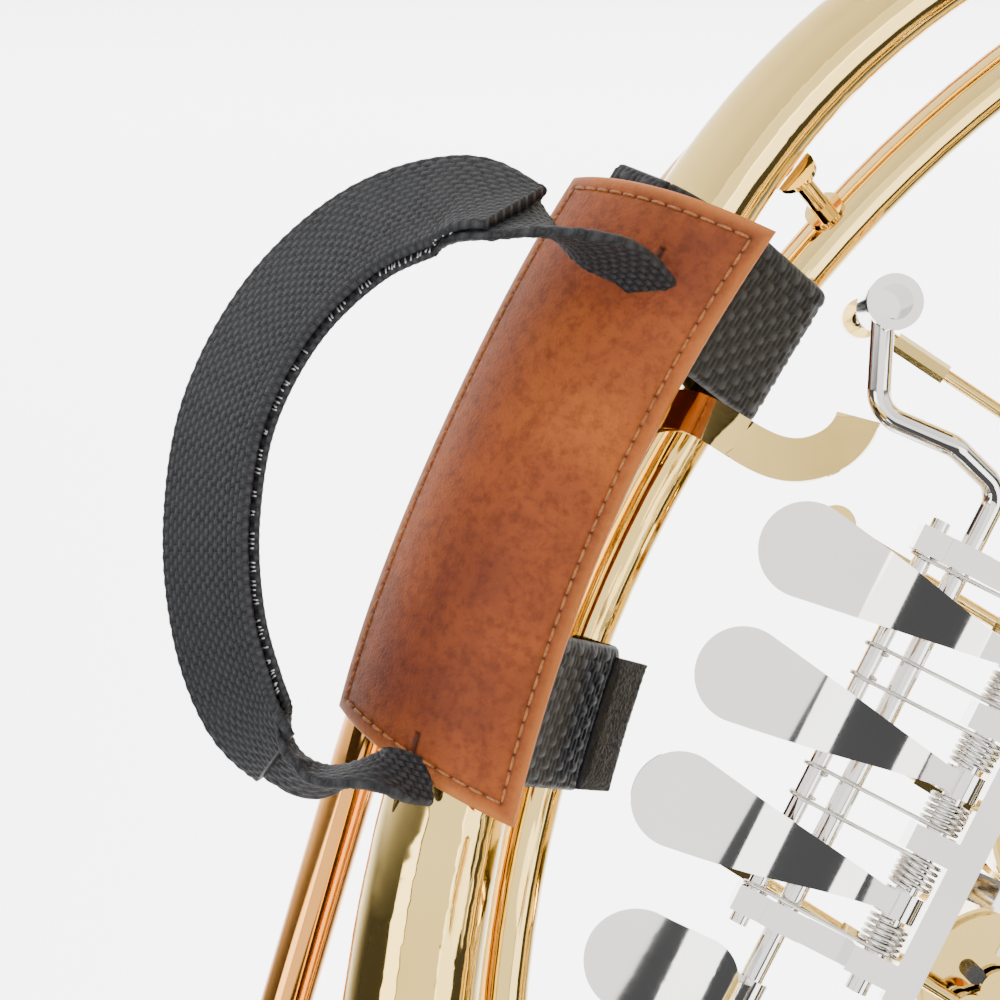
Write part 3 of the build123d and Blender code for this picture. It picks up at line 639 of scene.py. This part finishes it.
def make_hook_tab():
    """Cut end of the lower strap: a stiff flap covered in short pile."""
    rows, cols = 90, 46
    half = math.degrees(TAB_HALF_L / GRIP_R)
    front = np.zeros((rows, cols, 3))
    back = np.zeros((rows, cols, 3))
    tone = np.zeros((rows, cols))
    for r in range(rows):
        b = r / (rows - 1)
        centre, outward, facing, _ = grip_frame(WRAPS["lower"] + half * (2 * b - 1))
        for c in range(cols):
            s = TAB_HALF_W * (2 * c / (cols - 1) - 1)
            x = TAB_X + s * math.cos(TAB_TURN)
            y = TAB_Y + s * math.sin(TAB_TURN)
            normal = np.array([-math.sin(TAB_TURN), math.cos(TAB_TURN)])
            rim = min(1, 8 * min(b, 1 - b, (c / (cols - 1)), 1 - c / (cols - 1)))
            pile = random.uniform(0, TAB_PILE)
            tone[r, c] = pile
            for sheet_side, store in ((1, front), (-1, back)):
                lift = sheet_side * (0.6 * rim + 0.25 + pile)
                point = (x + normal[0] * lift, y + normal[1] * lift)
                store[r, c] = centre + (outward * point[0] + facing * point[1]) * MM
    verts, faces = slab(front, back)
    tab = new_piece("hook_tab_pile", verts, faces, HOOK_PILE)
    # the pile height drives the material's painted shade on low pile and painted highlight on high
    # pile
    paint(tab, "yarn", np.concatenate([tone.ravel()] * 2))
    fix_to_body(tab, "hook_and_loop_tab")


# ---- lever springs ------------------------------------------------------------------------
LEVER_PITCH = 25.0
COIL_R = 3.75
COIL_WIRE = 0.42
COIL_TURNS = 5.0
COIL_LENGTH = 5.8
RAIL = (24.5, 4.0, 1.79)


def make_springs():
    for number, middle in ((1, LEVER_PITCH), (2, 0.0), (3, -LEVER_PITCH)):
        verts, faces = [], []
        for side in (-1, 1):
            z0 = middle + side * 3.4
            points = []
            steps = int(COIL_TURNS * 28)
            for k in range(steps + 1):
                angle = 2 * math.pi * COIL_TURNS * k / steps - math.pi / 2
                z = z0 + side * COIL_LENGTH * k / steps
                points.append(key_place(COIL_R * math.cos(angle), COIL_R * math.sin(angle), z))
            end_z = z0 + side * COIL_LENGTH
            reach = RAIL[2] + COIL_WIRE + 0.1
            for t in np.linspace(0.06, 1, 14):
                x = RAIL[0] * t
                y = -COIL_R + (RAIL[1] - reach + COIL_R) * t
                points.append(key_place(x, y, end_z))
            for k in range(1, 19):
                angle = -math.pi / 2 + 2 * math.pi * k / 20
                points.append(key_place(RAIL[0] + reach * math.cos(angle),
                                        RAIL[1] + reach * math.sin(angle), end_z + side * 0.05 * k))
            tube_mesh(points, COIL_WIRE * MM, 8, verts, faces)
        spring = new_piece(f"spring_wire_{number}", verts, faces, STEEL)
        fix_to_body(spring, f"lever_spring_{number}")


# ---- studio -------------------------------------------------------------------------------
VIEW_X = 300.1
VIEW_Z = 239.0
VIEW_DISTANCE = 0.55
VIEW_WIDTH = 0.195
SENSOR = 36.0


def make_camera():
    data = bpy.data.cameras.new("camera")
    data.sensor_width = SENSOR
    data.lens = SENSOR * VIEW_DISTANCE / VIEW_WIDTH
    data.clip_start = 0.01
    camera = bpy.data.objects.new("camera", data)
    spot = place(VIEW_X, -VIEW_DISTANCE / MM, VIEW_Z)
    turn = Matrix(((-1, 0, 0), (0, 0, -1), (0, -1, 0)))
    camera.matrix_world = Matrix.Translation(Vector(spot)) @ turn.to_4x4()
    bpy.context.scene.collection.objects.link(camera)
    bpy.context.scene.camera = camera


def make_stage():
    """Pale floor that sweeps up behind the horn."""
    half, depth, height, bend = 14.0, 2.2, 3.0, 0.8
    profile = [(-14.0, 0.0), (depth - bend, 0.0)]
    for k in range(1, 17):
        angle = math.pi / 2 * k / 16
        profile.append((depth - bend + bend * math.sin(angle), bend - bend * math.cos(angle)))
    profile.append((depth, height))
    verts = [(x, y, z - 0.0004) for y, z in profile for x in (-half, half)]
    faces = [(2 * k, 2 * k + 1, 2 * k + 3, 2 * k + 2) for k in range(len(profile) - 1)]
    material, nodes, links, bsdf = shader("stage_paper")
    bsdf.inputs["Roughness"].default_value = 0.9
    tone = noise(nodes, links, 3.0, 2.0)
    links.new(ramp(nodes, links, tone, [(0, (0.90, 0.90, 0.90)), (1, (0.93, 0.93, 0.93))]),
              bsdf.inputs["Base Color"])
    floor = new_piece("stage_floor", verts, faces, material)


def soft_light(name, at, towards, size, power):
    data = bpy.data.lights.new(name, "AREA")
    data.shape = "RECTANGLE"
    data.size, data.size_y = size
    data.energy = power
    lamp = bpy.data.objects.new(name, data)
    lamp.location = at
    lamp.rotation_euler = (Vector(towards) - Vector(at)).to_track_quat("-Z", "Y").to_euler()
    bpy.context.scene.collection.objects.link(lamp)


HORN_MIDDLE = tuple(place(290, 0, 245))
# name, place, aim, size, power in watts
LIGHTS = [
    ("key", (1.2, -1.1, 0.9), HORN_MIDDLE, (0.8, 1.5), 24),
    ("side", (-1.05, -1.0, 0.75), HORN_MIDDLE, (0.9, 1.2), 16),
    ("top", (0.1, 0.2, 1.8), HORN_MIDDLE, (1.6, 0.8), 20),
    ("front", (0.0, -2.0, 0.3), HORN_MIDDLE, (2.6, 1.1), 20),
    ("wash_high", (0.0, 0.7, 1.9), (0.0, 2.2, 0.9), (3.6, 0.8), 185),
    ("wash_low", (0.0, 0.9, 0.9), (0.0, 2.0, 0.0), (3.0, 0.5), 75),
]


def make_lights():
    for row in LIGHTS:
        soft_light(*row)
    world = bpy.data.worlds.new("studio")
    world.use_nodes = True
    back = world.node_tree.nodes["Background"]
    back.inputs["Color"].default_value = (0.93, 0.95, 1.0, 1)
    back.inputs["Strength"].default_value = 0.11
    bpy.context.scene.world = world


make_camera()
dress_cad_nodes()
make_guard()
make_stitches()
make_wraps()
make_hand_strap()
make_strap_loops()
make_hook_tab()
make_springs()
make_stage()
make_lights()

bpy.context.view_layer.update()
